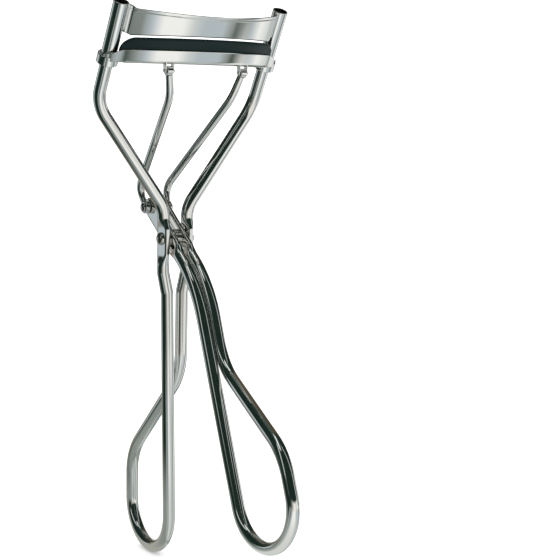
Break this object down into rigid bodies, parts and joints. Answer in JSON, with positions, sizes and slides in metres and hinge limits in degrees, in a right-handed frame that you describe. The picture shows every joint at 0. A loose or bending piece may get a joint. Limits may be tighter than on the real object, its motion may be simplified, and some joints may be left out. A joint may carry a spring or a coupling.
{
  "type": "eyelash curler",
  "caption": "Hand-held eyelash curler whose moving finger loop pushes a curved bar with a rubber pad up two posts against a curved strip.",
  "frame": {"origin": "centre of the bounding box's base, the level of the lowest finger loop", "axes": "+Z from the finger loops up to the bars; +X along the bars; -Y is the side the bars bulge to and the moving loop opens to"},
  "size_m": [0.0368, 0.0592, 0.1053],
  "materials": {
    "plated_wire": "bright nickel plate on bent wire",
    "plated_sheet": "bright nickel plate on pressed sheet",
    "plated_small": "bright nickel plate on pins and washers",
    "rubber": "semi-matt black silicone rubber"
  },
  "bodies": {
    "frame": {"frame_wire": "plated_wire", "upper_bar": "plated_sheet", "pivot_rivet": "plated_small", "pivot_washers": "plated_small", "pivot_spacer": "plated_small"},
    "handle": {"handle_wire": "plated_wire", "link_pin": "plated_small", "link_spacer": "plated_small"},
    "lower_bar": {"lower_bar": "plated_sheet", "rubber_pad": "rubber", "lug_pin_left": "plated_small", "lug_pin_right": "plated_small"},
    "push_rod_left": {"push_rod_left": "plated_wire"},
    "push_rod_right": {"push_rod_right": "plated_wire"}
  },
  "joints": [
    {"name": "handle_hinge", "type": "hinge", "parent": "frame", "child": "handle", "pos_m": [0, 0.01199, 0.06228], "axis": [1, 0, 0], "range_deg": [-32, 2]},
    {"name": "lower_bar_slide", "type": "slide", "parent": "frame", "child": "lower_bar", "axis": [0, -0.4574, 0.8893], "range_m": [-0.00487, 0.0003]},
    {"name": "push_rod_left_hinge", "type": "hinge", "parent": "handle", "child": "push_rod_left", "pos_m": [-0.00236, 0.01919, 0.06758], "axis": [1, 0, 0], "range_deg": [-2.5, 33]},
    {"name": "push_rod_right_hinge", "type": "hinge", "parent": "handle", "child": "push_rod_right", "pos_m": [0.00236, 0.01919, 0.06758], "axis": [1, 0, 0], "range_deg": [-2.5, 33]}
  ],
  "couplings": [
    {"joint": "handle_hinge", "follows": "lower_bar_slide", "rad_per_m": 114.57},
    {"joint": "push_rod_left_hinge", "follows": "lower_bar_slide", "rad_per_m": -112.22},
    {"joint": "push_rod_right_hinge", "follows": "lower_bar_slide", "rad_per_m": -112.22}
  ]
}
